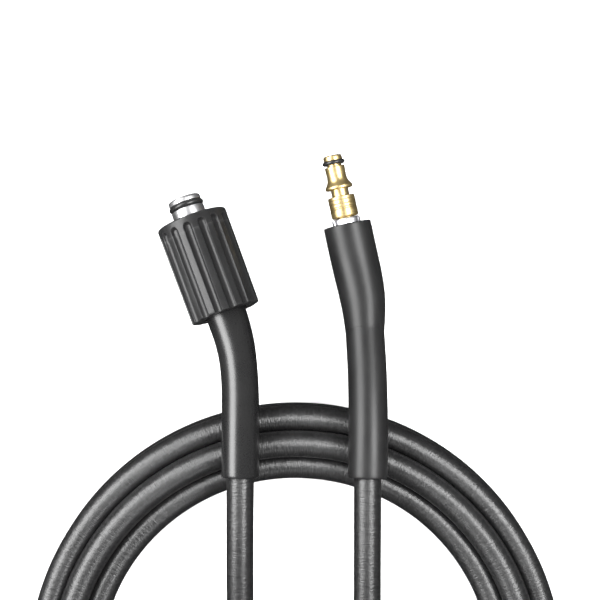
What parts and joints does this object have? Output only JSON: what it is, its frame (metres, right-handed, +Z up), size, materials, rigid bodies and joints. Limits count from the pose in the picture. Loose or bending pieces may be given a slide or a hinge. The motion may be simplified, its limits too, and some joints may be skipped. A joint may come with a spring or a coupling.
{
  "type": "pressure washer hose",
  "caption": "Coiled black pressure washer hose with a screw coupling and hand nut on one end and a brass push-in plug on the other.",
  "frame": {"origin": "on the floor, under the middle of the coiled hose with its two ends", "axes": "+Z up from the floor, +Y from the coil towards the two fittings, +X from the screw coupling towards the push-in plug"},
  "size_m": [0.2262, 0.3313, 0.0459],
  "materials": {
    "hose_rubber": "satin, fine cross grain",
    "sleeve_rubber": "smooth moulded, satin",
    "nut_plastic": "moulded, fine grain",
    "seal_rubber": "smooth, slightly glossy",
    "nipple_steel": "turned and plated, bright",
    "ferrule_steel": "crimped and plated, bright",
    "plug_brass": "turned, bright"
  },
  "bodies": {
    "hose": {"hose_coil": "hose_rubber", "hose_run_nut_end": "hose_rubber", "hose_run_plug_end": "hose_rubber", "nut_sleeve": "sleeve_rubber", "plug_sleeve": "sleeve_rubber", "screw_nipple": "nipple_steel", "nipple_seal": "seal_rubber", "brass_plug": "plug_brass", "plug_seal": "seal_rubber", "crimp_ferrule": "ferrule_steel"},
    "nut": {"hand_nut": "nut_plastic"}
  },
  "joints": [
    {"name": "hand_nut_spin", "type": "hinge", "parent": "hose", "child": "nut", "pos_m": [-0.0435, 0.13869, 0.0148], "axis": [-0.3481, 0.9212, -0.1736], "continuous": true}
  ]
}
